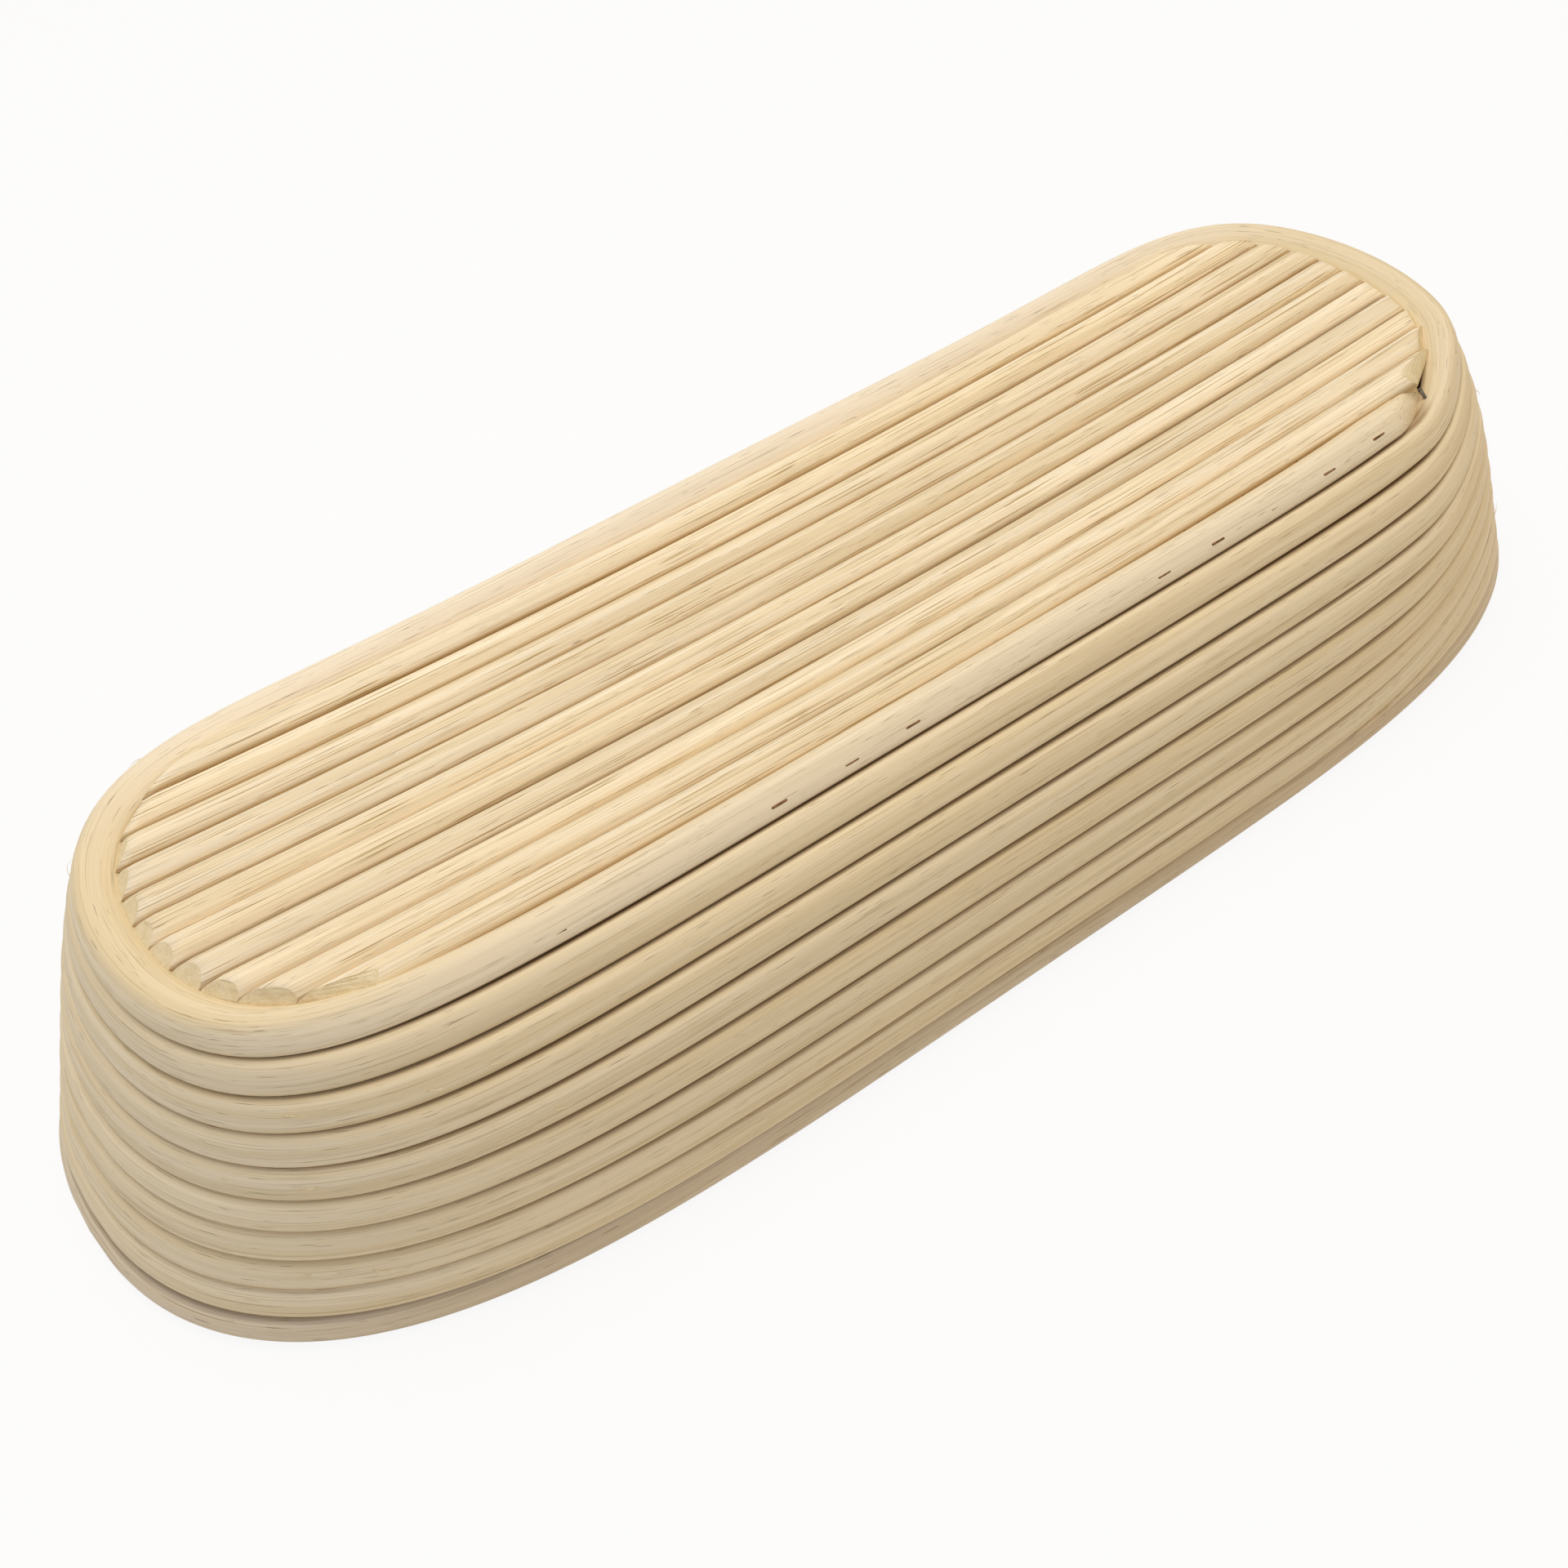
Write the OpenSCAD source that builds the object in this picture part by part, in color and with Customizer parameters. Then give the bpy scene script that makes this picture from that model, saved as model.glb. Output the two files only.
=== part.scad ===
// Long oblong proofing basket of peeled rattan cane, standing upside down on its rim.
// Straight rods make the base, one cane wound downwards in touching courses makes the wall,
// and a closed hoop makes the rim. Staples, pins and brads hold the canes together.
// X runs along the basket, the rim lies on the plane z = 0, and the base is on top.

/* [Base] */
// Number of rods laid side by side
rod_count = 11; // [7:2:13]
// Thickness of a base rod
rod_d = 7.8; // [6.5:0.1:7.8]
// Spacing of the base rods
rod_pitch = 8; // [8:0.1:9]
// Gap between the rods and the first course round them
rod_gap = 1; // [0.5:0.1:1.5]
// Slant of the saw cut across the upper half of a rod's ends
rod_bevel = 45; // [30:1:50]
// How far the middle of the base is dished below the first course
rod_sink = 3; // [1:0.1:3.5]
// How far the rods' ends curve up above their middles
rod_bow = 7; // [5:0.1:8]

/* [Wall] */
// Courses in the wall, counting the rim hoop as the last
courses = 10; // [8:1:12]
// Thickness of the wall cane
cane_d = 7.6; // [6.5:0.1:7.6]
// Spacing of the courses, measured along the slope of the wall
course_pitch = 8.3; // [8.3:0.1:9]
// Length of the first course, between centre lines
first_course_l = 369; // [330:1:420]
// How far the rim stands out beyond the first course at each side
side_flare = 26.5; // [20:0.5:27]
// How far the rim stands out beyond the first course at each end
end_flare = 25; // [20:0.5:27]
// How much of the sides' flare is spent near the base: 0 gives a straight slope
side_curl = 1; // [0.5:0.1:1]
// How much of the ends' flare is spent near the base
end_curl = 0.1; // [0:0.1:0.5]
// How straight the sides of the first course run: 2 is an ellipse, more is straighter
first_straightness = 10; // [8:0.5:11]
// How square the ends of the first course are: 2 is round, more is boxier
first_squareness = 2; // [2:0.1:2.3]
// How straight the sides of the rim run
rim_straightness = 4.5; // [4.2:0.1:5.5]
// How square the ends of the rim are
rim_squareness = 2.3; // [2.1:0.1:2.5]

/* [Fasteners] */
// Staples through the first course into the outer rod, on each side
staples_per_side = 15; // [5:2:17]
// Distance between staples
staple_spacing = 18.5; // [14:0.5:20]
// Thickness of the staple wire
staple_wire_d = 0.8; // [0.6:0.1:1]
// Staples through the first course into the rod ends, at each end
staples_per_end = 5; // [1:2:5]
// Rows of hidden pins that hold each base rod to the next
pin_rows = 3; // [1:2:5]
// Thickness of a pin
pin_d = 1.2; // [1:0.1:1.6]
// Brads that pin each course to the one above it
brads_per_course = 10; // [5:5:20]

/* [Hidden] */
$fn = 32;
// Steps in a full turn of the wide arc that the rods follow
arc_fineness = 1440;
cane_r = cane_d / 2;
turns = courses - 1;
rim_level = courses - 1;
half_l = first_course_l / 2;
base_half_w = rod_count * rod_pitch / 2;
half_w = base_half_w + rod_gap + cane_r;

// The tubes are swept through rings of points, evenly spaced in the angle of the outline.
// A power of the cosine under 1 sets them closer together where the ends bend.
rings_per_turn = 40;
ring_spread = 0.45;
tube_sides = 8;
ring_angle = 360 / rings_per_turn;
// Near corner of the +X end, where each turn has just stepped down a course
step_end_angle = -76;
step_rings = 4;
// Rings of the tapered ends that lie in the gaps above the first step and below the last
taper_rings = 2;

// The slanting cuts start this far below the middle of a rod's end, and the saw takes this much away
bevel_start = 0.5;
saw_size = 40;

// The rim hoop is pressed flat underneath by a tenth of its thickness
rim_flat = cane_d / 10;
rim_z = cane_r - rim_flat;

// Staple, pin and brad sizes
staple_crown = 4;
staple_leg = 11;
staple_tilt = 20;
pin_length = 7;
pin_stagger = 6;
pin_row_spacing = 0.62 * first_course_l / pin_rows;
brad_d = 1;
brad_length = 11;

cane_colour = "#E6D3A6";
hoop_colour = "#DCC79A";
wire_colour = "#8A7B66";

function signed_power(v, e) = sign(v) * pow(abs(v), e);
function unit(v) = v / norm(v);
function mix(a, b, f) = a * (1 - f) + b * f;
function smooth(f) = f * f * (3 - 2 * f);

// Share of the flare reached at a course, from 0 at the first course to 1 at the rim
function lean(level, curl) = let (u = level / rim_level) u * (1 + curl - curl * u);
function length_at(level) = half_l + end_flare * lean(level, end_curl);
function width_at(level) = half_w + side_flare * lean(level, side_curl);

// The sides lose their straightness near the base, and the ends turn square near the rim
function straightness(level) = mix(first_straightness, rim_straightness, lean(level, 1));
function squareness(level) = mix(first_squareness, rim_squareness, lean(level, -1));

// Outline of a course seen from above, as shares of its half length and half width
function share_x(t) = signed_power(cos(t), ring_spread);
function share_y(level, t) =
    let (rest = max(0, 1 - pow(abs(share_x(t)), straightness(level))))
    sign(sin(t)) * pow(rest, 1 / squareness(level));
function outline(level, t) =
    [length_at(level) * share_x(t), width_at(level) * share_y(level, t)];

// Outward direction of the outline
function outward(level, t) =
    let (p = straightness(level), q = squareness(level))
    unit([
        p * signed_power(share_x(t), p - 1) / length_at(level),
        q * signed_power(share_y(level, t), q - 1) / width_at(level)
    ]);

// Each course rests on the next at the same spacing, so a steeper wall is a taller one
function drop(level, t) =
    let (out = (outline(level + 1, t) - outline(level, t)) * outward(level, t))
    sqrt(pow(course_pitch, 2) - pow(out, 2));
function course_z(level, t) =
    level >= rim_level ? rim_z : drop(level, t) + course_z(level + 1, t);
function cane_z(level, t) = let (whole = max(0, min(floor(level), rim_level - 1)))
    mix(course_z(whole, t), course_z(whole + 1, t), level - whole);
function cane_point(level, t) = let (p = outline(level, t)) [p[0], p[1], cane_z(level, t)];
function slope_at(level, t) = let (upper = max(0, min(level, rim_level - 1)))
    unit(cane_point(upper + 1, t) - cane_point(upper, t));

// Angle of the first course's outline at a place along the side, and at a place across the end
function angle_at_share(share) = acos(signed_power(share, 1 / ring_spread));
function side_angle(x, side) = side * angle_at_share(x / length_at(0));
function end_angle(y) =
    let (rest = 1 - pow(abs(y) / width_at(0), squareness(0)))
    sign(y) * angle_at_share(pow(rest, 1 / straightness(0)));

// The base is dished: the rods follow a wide arc, and the middle rods lie lowest
side_z = cane_z(0, 90);
bow_radius = (pow(half_l, 2) + pow(rod_bow, 2)) / (2 * rod_bow);
function bow_centre_z(y) = side_z - rod_sink * (1 - pow(y / base_half_w, 2)) + bow_radius;
function rod_z(x, y) = bow_centre_z(y) - sqrt(pow(bow_radius, 2) - pow(x, 2));

// Outline that the rods are sawn to, clear of the first course, and its angle at a place across the base
rod_trim = cane_r + rod_gap;
function sawn_edge(t) = outline(0, t) - rod_trim * outward(0, t);
function sawn_angle(y, low = 0, high = 90, halvings = 20) =
    let (middle = (low + high) / 2)
    halvings == 0 ? middle
    : sawn_edge(middle)[1] < y ? sawn_angle(y, middle, high, halvings - 1)
    : sawn_angle(y, low, middle, halvings - 1);

// The winding: course reached, angle, and thickness of the cane at each ring
function angle_of(g) = step_end_angle - ring_angle * g;
function course_of(g) =
    let (turn = floor(g / rings_per_turn), ring = g - turn * rings_per_turn)
    let (into_step = (ring - rings_per_turn + step_rings) / step_rings)
    turn + smooth(max(0, into_step));
function centre_course(raw) =
    raw < 0 ? raw / 2 : raw > turns - 1 ? (turns - 1 + raw) / 2 : raw;
function thickness(raw) = raw < 0 ? 1 + raw : raw > turns - 1 ? turns - raw : 1;
function winding_point(g) = cane_point(centre_course(course_of(g)), angle_of(g));

first_ring = -taper_rings;
last_ring = turns * rings_per_turn - step_rings + taper_rings;

// One ring of points round a cane, squeezed along the slope by the thickness factor
function ring_points(centre, along, slope, squeeze) =
    let (across = unit(cross(along, slope)), up = cross(across, along))
    [for (q = [0 : tube_sides - 1]) let (a = 360 * (q + 0.5) / tube_sides)
        centre + cane_r * (cos(a) * across + squeeze * sin(a) * up)];
function winding_ring(g) = ring_points(
    winding_point(g),
    winding_heading(g),
    slope_at(centre_course(course_of(g)), angle_of(g)),
    thickness(course_of(g)));
function rim_ring(i) =
    let (t = angle_of(i), centre = cane_point(rim_level, t))
    let (along = unit(cane_point(rim_level, t - 1) - cane_point(rim_level, t + 1)))
    [for (p = ring_points(centre, along, [0, 0, -1], 1)) [p[0], p[1], max(0, p[2])]];

// Triangles between two neighbouring rings, and a fan over the end of a tube
function band(a, b) = [for (q = [0 : tube_sides - 1]) let (r = (q + 1) % tube_sides)
    each [
        [a * tube_sides + q, b * tube_sides + q, b * tube_sides + r],
        [a * tube_sides + q, b * tube_sides + r, a * tube_sides + r]
    ]];
function cap(a, order) = [for (q = [1 : tube_sides - 2])
    order > 0
        ? [a * tube_sides, a * tube_sides + q, a * tube_sides + q + 1]
        : [a * tube_sides, a * tube_sides + q + 1, a * tube_sides + q]];

// Least gap between neighbouring turns of the winding, measured square to the upper one
function winding_heading(g) = unit(winding_point(g + 1) - winding_point(g - 1));
gaps = [for (g = [first_ring : last_ring - rings_per_turn])
    norm(cross(winding_point(g + rings_per_turn) - winding_point(g), winding_heading(g)))
        - cane_r * (thickness(course_of(g)) + thickness(course_of(g + rings_per_turn)))];
echo(least_gap_between_turns = min(gaps));

// Round bar from one point towards another
module bar(from, direction, length, d) {
    translate(from)
        rotate([0, acos(direction[2]), atan2(direction[1], direction[0])])
            cylinder(d = d, h = length);
}

// What a slanting saw cut takes off the upper half of both ends of a rod
module saw_cuts(y) {
    t = sawn_angle(abs(y));
    reach = sawn_edge(t)[0];
    n = outward(0, t);
    for (end = [-1, 1])
        translate([end * reach, y, rod_z(reach, y) - bevel_start])
            rotate([0, -rod_bevel, atan2(sign(y) * n[1], end * n[0])])
                translate([0, -saw_size / 2, -saw_size / 2])
                    cube(saw_size);
}

// One rod of the base, bent to the bow and sawn to the oval inside the first course
module base_rod(number) {
    y = (number - (rod_count + 1) / 2) * rod_pitch;
    color(cane_colour)
        difference() {
            intersection() {
                translate([0, y, bow_centre_z(y)])
                    rotate([90, 0, 0])
                        rotate([0, 0, -100])
                            rotate_extrude(angle = 20, $fn = arc_fineness)
                                translate([bow_radius, 0])
                                    circle(d = rod_d, $fn = 32);
                linear_extrude(height = 2 * side_z)
                    polygon([for (i = [0 : 71]) sawn_edge(5 * i)]);
            }
            saw_cuts(y);
        }
}

// The wall: one unbroken cane
module wall_winding() {
    count = last_ring - first_ring + 1;
    color(cane_colour)
        polyhedron(
            [for (g = [first_ring : last_ring]) each winding_ring(g)],
            [each cap(0, 1),
             for (a = [0 : count - 2]) each band(a, a + 1),
             each cap(count - 1, -1)]);
}

// The rim: a hoop whose ends are joined, flat underneath
module rim_hoop() {
    color(hoop_colour)
        polyhedron(
            [for (i = [0 : rings_per_turn - 1]) each rim_ring(i)],
            [for (a = [0 : rings_per_turn - 1]) each band(a, (a + 1) % rings_per_turn)]);
}

// Wire staple with its crown on the outside of the first course, aimed at the rod behind it
module staple(t) {
    n = outward(0, t);
    crown_r = cane_r - staple_wire_d;
    crown = cane_point(0, t) + crown_r * [n[0] * cos(staple_tilt), n[1] * cos(staple_tilt), sin(staple_tilt)];
    behind = cane_r + rod_gap + rod_d / 2;
    aim = outline(0, t) - behind * n;
    dip = atan2(crown[2] - rod_z(aim[0], aim[1]), behind + crown_r * cos(staple_tilt));
    translate(crown)
        rotate([0, -dip, atan2(n[1], n[0])]) {
            translate([0, staple_crown / 2, 0])
                rotate([90, 0, 0])
                    cylinder(d = staple_wire_d, h = staple_crown);
            for (end = [-1, 1])
                translate([0, end * (staple_crown - staple_wire_d) / 2, 0])
                    rotate([0, -90, 0])
                        cylinder(d = staple_wire_d, h = staple_leg);
        }
}

// Places spread evenly to both sides of the middle
function spread_out(count, spacing) = [for (i = [0 : count - 1]) (i - (count - 1) / 2) * spacing];

module side_staples(side) {
    color(wire_colour)
        for (x = spread_out(staples_per_side, staple_spacing))
            staple(side_angle(x, side));
}

// End staples go into every second rod
module end_staples(end) {
    color(wire_colour)
        for (y = spread_out(staples_per_end, 2 * rod_pitch))
            staple(end > 0 ? end_angle(y) : 180 - end_angle(y));
}

// Hidden pins across the joints between the base rods, staggered so that they clear each other
module rod_pins() {
    color(wire_colour)
        for (row = spread_out(pin_rows, pin_row_spacing))
            for (joint = [1 : rod_count - 1]) {
                x = row + (joint % 2) * pin_stagger;
                y = (joint - rod_count / 2) * rod_pitch;
                bar([x, y - pin_length / 2, rod_z(x, y)], [0, 1, 0], pin_length, pin_d);
            }
}

// Brads that pin one course up into the course above it
module brads(level) {
    every = rings_per_turn / brads_per_course;
    for (i = [0 : brads_per_course - 1]) {
        t = angle_of(every * i + level % every);
        slope = slope_at(level - 1, t);
        bar(cane_point(level, t) + slope * cane_r / 2, -slope, brad_length, brad_d);
    }
}

module course_brads() {
    color(wire_colour)
        for (level = [1 : rim_level - 1])
            brads(level);
}

module rim_brads() {
    color(wire_colour)
        brads(rim_level);
}

for (i = [1 : rod_count])
    base_rod(i);
wall_winding();
rim_hoop();
side_staples(-1);  // near_side_staples
side_staples(1);  // far_side_staples
end_staples(-1);  // left_end_staples
end_staples(1);  // right_end_staples
rod_pins();
course_brads();
rim_brads();
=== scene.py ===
# %% [markdown]
# # A proofing basket of peeled rattan
# A long proofing basket is wound from one cane, like a coil pot, round a floor of straight rods. It stands
# here upside down on its rim, as such baskets are dried. Everything is built from a few formulas, so that
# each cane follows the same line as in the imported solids.

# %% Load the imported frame
import math

import bpy
import numpy as np
from mathutils import Matrix, Vector


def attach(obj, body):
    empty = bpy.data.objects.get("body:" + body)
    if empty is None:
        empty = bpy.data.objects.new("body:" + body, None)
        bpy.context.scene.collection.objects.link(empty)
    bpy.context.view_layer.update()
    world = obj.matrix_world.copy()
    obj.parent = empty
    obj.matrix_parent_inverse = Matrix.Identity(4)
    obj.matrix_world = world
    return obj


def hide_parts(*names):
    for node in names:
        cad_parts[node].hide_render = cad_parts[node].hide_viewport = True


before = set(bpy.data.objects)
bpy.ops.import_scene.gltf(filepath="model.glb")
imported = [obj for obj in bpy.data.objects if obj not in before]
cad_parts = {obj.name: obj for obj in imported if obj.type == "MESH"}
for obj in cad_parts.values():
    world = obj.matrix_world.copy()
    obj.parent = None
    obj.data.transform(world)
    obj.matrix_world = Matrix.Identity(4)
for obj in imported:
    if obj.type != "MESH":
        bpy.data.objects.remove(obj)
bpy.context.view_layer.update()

# %% [markdown]
# ## The basket's own measure is its cane
# A maker counts in canes: eleven rods across the floor and ten courses up the wall, all of about eight
# millimetres. Sizes could be typed in where they are used, but named once, they can be changed together.
# All of them are in millimetres, and become metres only when a mesh is made.

# %% Sizes
MM = 0.001
ROD_COUNT = 11
ROD_PITCH = 8.0
ROD_GAP = 1.0
COURSES = 10
COURSE_PITCH = 8.3
SOLID_CANE_R = 3.8
RIM_FLAT = 0.76
RIM_LEVEL = COURSES - 1
RIM_Z = SOLID_CANE_R - RIM_FLAT
HALF_L = 369 / 2
BASE_HALF_W = ROD_COUNT * ROD_PITCH / 2
HALF_W = BASE_HALF_W + ROD_GAP + SOLID_CANE_R
print("first course:", 2 * HALF_L, "by", 2 * HALF_W, "mm between centre lines")

# %% [markdown]
# ## Courses as outlines
# Seen from above each course is an oblong with straight sides and round ends. Two powers draw it: one says
# how straight the sides run, the other how square the ends are. A spline through clicked points could do it
# too, but a formula gives every course from the same few numbers, and the courses can't cross. Courses are
# counted by their level, from 0 beside the rods to 9 at the rim, and a level between two whole ones lies
# between two courses.

# %% Outline of a course
SIDE_FLARE, SIDE_CURL = 26.5, 1.0
END_FLARE, END_CURL = 25.0, 0.1
FIRST_STRAIGHTNESS, RIM_STRAIGHTNESS, STRAIGHTNESS_CURL = 10.0, 4.5, 1.0
FIRST_SQUARENESS, RIM_SQUARENESS, SQUARENESS_CURL = 2.0, 2.3, -1.0
RING_SPREAD = 0.45


def signed_power(value, power):
    return np.sign(value) * np.abs(value) ** power


def unit(vectors):
    return vectors / np.linalg.norm(vectors, axis=-1, keepdims=True)


def lean(level, curl):
    """Share of the way from the first course to the rim. A curl above 0 puts more of it near the first."""
    share = level / RIM_LEVEL
    return share * (1 + curl - curl * share)


def powers(level):
    straight = FIRST_STRAIGHTNESS + (RIM_STRAIGHTNESS - FIRST_STRAIGHTNESS) * lean(level, STRAIGHTNESS_CURL)
    square = FIRST_SQUARENESS + (RIM_SQUARENESS - FIRST_SQUARENESS) * lean(level, SQUARENESS_CURL)
    return straight, square


def shares(level, angle):
    """A point of the outline as shares of its half length and half width."""
    straight, square = powers(level)
    x = signed_power(np.cos(angle), RING_SPREAD)
    y = np.sign(np.sin(angle)) * np.maximum(1 - np.abs(x) ** straight, 0) ** (1 / square)
    return x, y


def half_sizes(level):
    return HALF_L + END_FLARE * lean(level, END_CURL), HALF_W + SIDE_FLARE * lean(level, SIDE_CURL)


def outline(level, angle):
    x, y = shares(level, angle)
    long, wide = half_sizes(level)
    return np.stack([long * x, wide * y], -1)


def outward(level, angle):
    """The level direction square to the outline."""
    straight, square = powers(level)
    x, y = shares(level, angle)
    long, wide = half_sizes(level)
    return unit(np.stack([straight * signed_power(x, straight - 1) / long,
                          square * signed_power(y, square - 1) / wide], -1))


print("rim: %.1f by %.1f mm between centre lines" % tuple(2 * size for size in half_sizes(RIM_LEVEL)))

# %% [markdown]
# ## Courses as layers
# Each course of the wall lies on the next one. Even steps in height would leave gaps where the wall leans
# out most, so the spacing is measured along the wall instead, and the wall is tallest where it is steepest.


# %% Height of a course
def course_heights(angle):
    """Heights of all courses, worked out from the rim up."""
    rows = [np.full(np.shape(angle), RIM_Z)]
    for level in range(RIM_LEVEL - 1, -1, -1):
        step = outline(level + 1, angle) - outline(level, angle)
        out = np.sum(step * outward(level, angle), -1)
        rows.insert(0, rows[0] + np.sqrt(COURSE_PITCH ** 2 - out ** 2))
    return np.array(rows)


def cane_point(level, angle):
    """A point on the centre line of the wall's cane."""
    rows = course_heights(angle)
    whole = np.clip(np.floor(level), 0, RIM_LEVEL - 1).astype(int)
    column = np.arange(len(angle))
    upper, lower = rows[whole, column], rows[whole + 1, column]
    height = upper + (lower - upper) * (level - whole)
    return np.concatenate([outline(level, angle), height[:, None]], -1)


def slope_at(level, angle):
    """The direction down the wall, from one course to the next."""
    upper = np.clip(level, 0, RIM_LEVEL - 1)
    return unit(cane_point(upper + 1, angle) - cane_point(upper, angle))


SIDE_Z, END_Z = course_heights(np.array([math.pi / 2, 0]))[0]
print("first course: %.1f mm up at the sides, %.1f mm at the ends" % (SIDE_Z, END_Z))

# %% [markdown]
# ## The camera
# The photograph looks down on the basket from one corner. A camera could be set by eye in the viewport, but
# here the distance, lens and angles come from lining up the grooves between the canes with those of the
# photograph. The lens is given for a sensor 36 mm wide.

# %% Camera
CAMERA_TARGET = Vector((-23.57, -12.29, 40.0)) * MM
CAMERA_AZIMUTH, CAMERA_ELEVATION, CAMERA_ROLL = (math.radians(angle) for angle in (-33.18, 44.52, -5.63))
CAMERA_DISTANCE = 494.2 * MM
FOCAL_PIXELS, FRAME_PIXELS, SENSOR_MM = 2519.4, 1920, 36.0
CENTRE_SHIFT_PIXELS = (16.7, -52.8)
level_share = math.cos(CAMERA_ELEVATION)
camera_back = Vector((math.sin(CAMERA_AZIMUTH) * level_share, -math.cos(CAMERA_AZIMUTH) * level_share,
                      math.sin(CAMERA_ELEVATION)))
camera_right = Vector((0, 0, 1)).cross(camera_back).normalized()
camera_up = camera_back.cross(camera_right)
aim = Matrix((camera_right, camera_up, camera_back)).transposed().to_4x4()
camera_data = bpy.data.cameras.new("camera")
camera_data.sensor_width = SENSOR_MM
camera_data.lens = FOCAL_PIXELS * SENSOR_MM / FRAME_PIXELS
camera_data.shift_x = -CENTRE_SHIFT_PIXELS[0] / FRAME_PIXELS
camera_data.shift_y = CENTRE_SHIFT_PIXELS[1] / FRAME_PIXELS
camera_data.clip_start = 0.01
camera = bpy.data.objects.new("camera", camera_data)
bpy.context.collection.objects.link(camera)
roll = Matrix.Rotation(CAMERA_ROLL, 4, "Z")
camera.matrix_world = Matrix.Translation(CAMERA_TARGET + camera_back * CAMERA_DISTANCE) @ aim @ roll
bpy.context.scene.camera = camera
bpy.context.scene.view_settings.view_transform = "Standard"
print("lens: %.1f mm" % camera_data.lens)

# %% [markdown]
# ## Node trees with one helper
# A material is a small graph. It could be clicked together in the shader editor, but a script can be read
# and run again. One function adds a node, sets its properties and fills its sockets, and another turns the
# hex colours that a picture editor shows into the linear values that the shader works with.


# %% Node helper and colours
def linear(code):
    """Linear colour of an sRGB hex code, by the curve of the sRGB standard."""
    values = [int(code[i:i + 2], 16) / 255 for i in (1, 3, 5)]
    return [v / 12.92 if v <= 0.04045 else ((v + 0.055) / 1.055) ** 2.4 for v in values] + [1.0]


def add(tree, kind, settings=None, inputs=None):
    """One node with its properties set and each named socket linked or given a value."""
    made = tree.nodes.new(kind)
    for name, value in (settings or {}).items():
        setattr(made, name, value)
    for name, value in (inputs or {}).items():
        socket = made.inputs[name]
        if isinstance(value, bpy.types.NodeSocket):
            tree.links.new(value, socket)
        else:
            socket.default_value = value
    return made


def new_material(name):
    made = bpy.data.materials.new(name)
    made.use_nodes = True
    made.node_tree.nodes.clear()
    return made, made.node_tree


# Settings that many nodes share, and the places of a Mix node's colour sockets.
SMOOTH = {"interpolation_type": "SMOOTHSTEP"}
PRODUCT = {"operation": "MULTIPLY"}
GREATER = {"operation": "MAXIMUM"}
COVER = {"data_type": "RGBA", "blend_type": "MIX"}
STAIN = {"data_type": "RGBA", "blend_type": "MULTIPLY"}
FACTOR, BELOW, ON_TOP, MIXED = 0, 6, 7, 2
print("white in linear values:", linear("#FFFFFF"))

# %% [markdown]
# ## Peeled rattan
# Rattan is a climbing palm. Its glossy bark is peeled off, and what is left is a pale straw core of long
# fibres with open vessels between them. The eye sees fine streaks along the cane, short brown dashes where
# a vessel is cut open, an ochre painted shade where neighbouring canes touch, and a matt surface. Wood
# textures made for planks would show rings, so the streaks are noise that is stretched along the cane. Each
# mesh carries four attributes for this. "grain" is a place along and across its cane in millimetres,
# "groove" grows to 1 where it touches a neighbour and places the painted shade there, "tone" makes each
# stretch of cane a little lighter or darker, and the fourth lays painted light on the wall's first course
# as a paler colour.

# %% Stretched noise
# Widths across the cane and lengths along it, in millimetres. Bundles of fibres are about a quarter of a
# millimetre wide, and the streaks are drawn a little wider so that they show.
STREAK_WIDTH, STREAK_LENGTH = 0.38, 60.0
BAND_WIDTH, BAND_LENGTH = 2.2, 170.0
LINE_WIDTH, LINE_LENGTH = 0.3, 32.0
VESSEL_WIDTH, VESSEL_LENGTH = 0.26, 8.0


def grain_noise(tree, grain, width, length, detail, roughness):
    """Noise whose features are so wide across the cane and so long along it, in millimetres."""
    stretched = add(tree, "ShaderNodeVectorMath", PRODUCT, {0: grain, 1: (1 / length, 1 / width, 1 / width)})
    return add(tree, "ShaderNodeTexNoise", {"normalize": True}, {
        "Vector": stretched.outputs[0], "Scale": 1.0, "Detail": detail, "Roughness": roughness}).outputs[0]


print("streaks: %.2f mm wide, %.0f mm long" % (STREAK_WIDTH, STREAK_LENGTH))

# %% Peeled rattan material
# Painted light: the paler colour laid on the wall's first course.
PAINTED_LIGHT_COLOUR = "#F7E9D0"
VESSEL_STRENGTH = 0.62


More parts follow.
